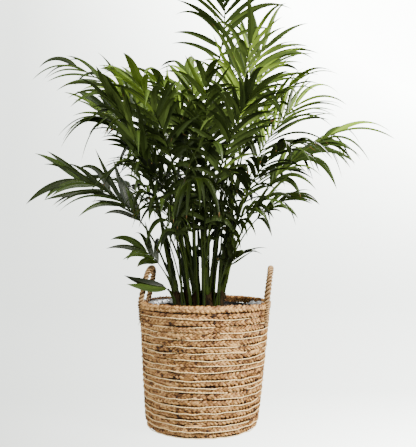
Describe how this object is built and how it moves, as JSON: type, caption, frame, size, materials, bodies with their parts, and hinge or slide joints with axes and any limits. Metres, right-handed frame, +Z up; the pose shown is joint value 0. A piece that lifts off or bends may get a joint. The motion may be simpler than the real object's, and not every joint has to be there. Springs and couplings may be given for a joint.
{
  "type": "potted cat palm in a woven basket",
  "caption": "Leafy clump palm with slim green stems and arching feather fronds, in a plastic pot inside a round woven basket with rope handles.",
  "frame": {"origin": "middle of the basket's flat underside", "axes": "+Z up along the plant, +X towards the right handle, the two handles lie on X"},
  "size_m": [0.8622, 0.7719, 1.044],
  "materials": {
    "braid": "braided dried water hyacinth, matt",
    "rope": "twisted natural rope, matt",
    "liner": "thin wrinkled plastic film, semi-gloss",
    "pot": "black plastic, satin",
    "soil": "moist peat potting soil, matt",
    "stem": "smooth green stem, satin",
    "frond": "living leaf, satin"
  },
  "bodies": {
    "root": {"basket_floor": "braid", "basket_rim": "braid", "basket_wall": "braid", "frond_back": "frond", "frond_back_high": "frond", "frond_back_left": "frond", "frond_back_low": "frond", "frond_back_low_left": "frond", "frond_back_low_right": "frond", "frond_back_right": "frond", "frond_centre_fan": "frond", "frond_front_centre": "frond", "frond_front_left": "frond", "frond_front_right": "frond", "frond_inner_arching": "frond", "frond_inner_back": "frond", "frond_inner_front": "frond", "frond_inner_left": "frond", "frond_inner_right": "frond", "frond_left_back": "frond", "frond_left_bottom": "frond", "frond_left_fan": "frond", "frond_left_forked": "frond", "frond_left_front": "frond", "frond_left_hanging": "frond", "frond_left_inner": "frond", "frond_left_long": "frond", "frond_left_low": "frond", "frond_left_upright": "frond", "frond_left_wide": "frond", "frond_left_young": "frond", "frond_middle_front": "frond", "frond_middle_left": "frond", "frond_right_back": "frond", "frond_right_high": "frond", "frond_right_inner": "frond", "frond_right_low": "frond", "frond_right_main": "frond", "frond_right_near": "frond", "frond_right_small": "frond", "frond_right_top": "frond", "frond_right_upper": "frond", "frond_right_young": "frond", "frond_top": "frond", "handle_left": "rope", "handle_right": "rope", "nursery_pot": "pot", "plastic_liner": "liner", "soil": "soil", "stem_back_left": "stem", "stem_back_right": "stem", "stem_front": "stem", "stem_front_left": "stem", "stem_left": "stem", "stem_middle": "stem", "stem_right": "stem", "stem_slim_left": "stem", "stem_slim_middle": "stem", "stem_slim_right": "stem"}
  },
  "joints": []
}
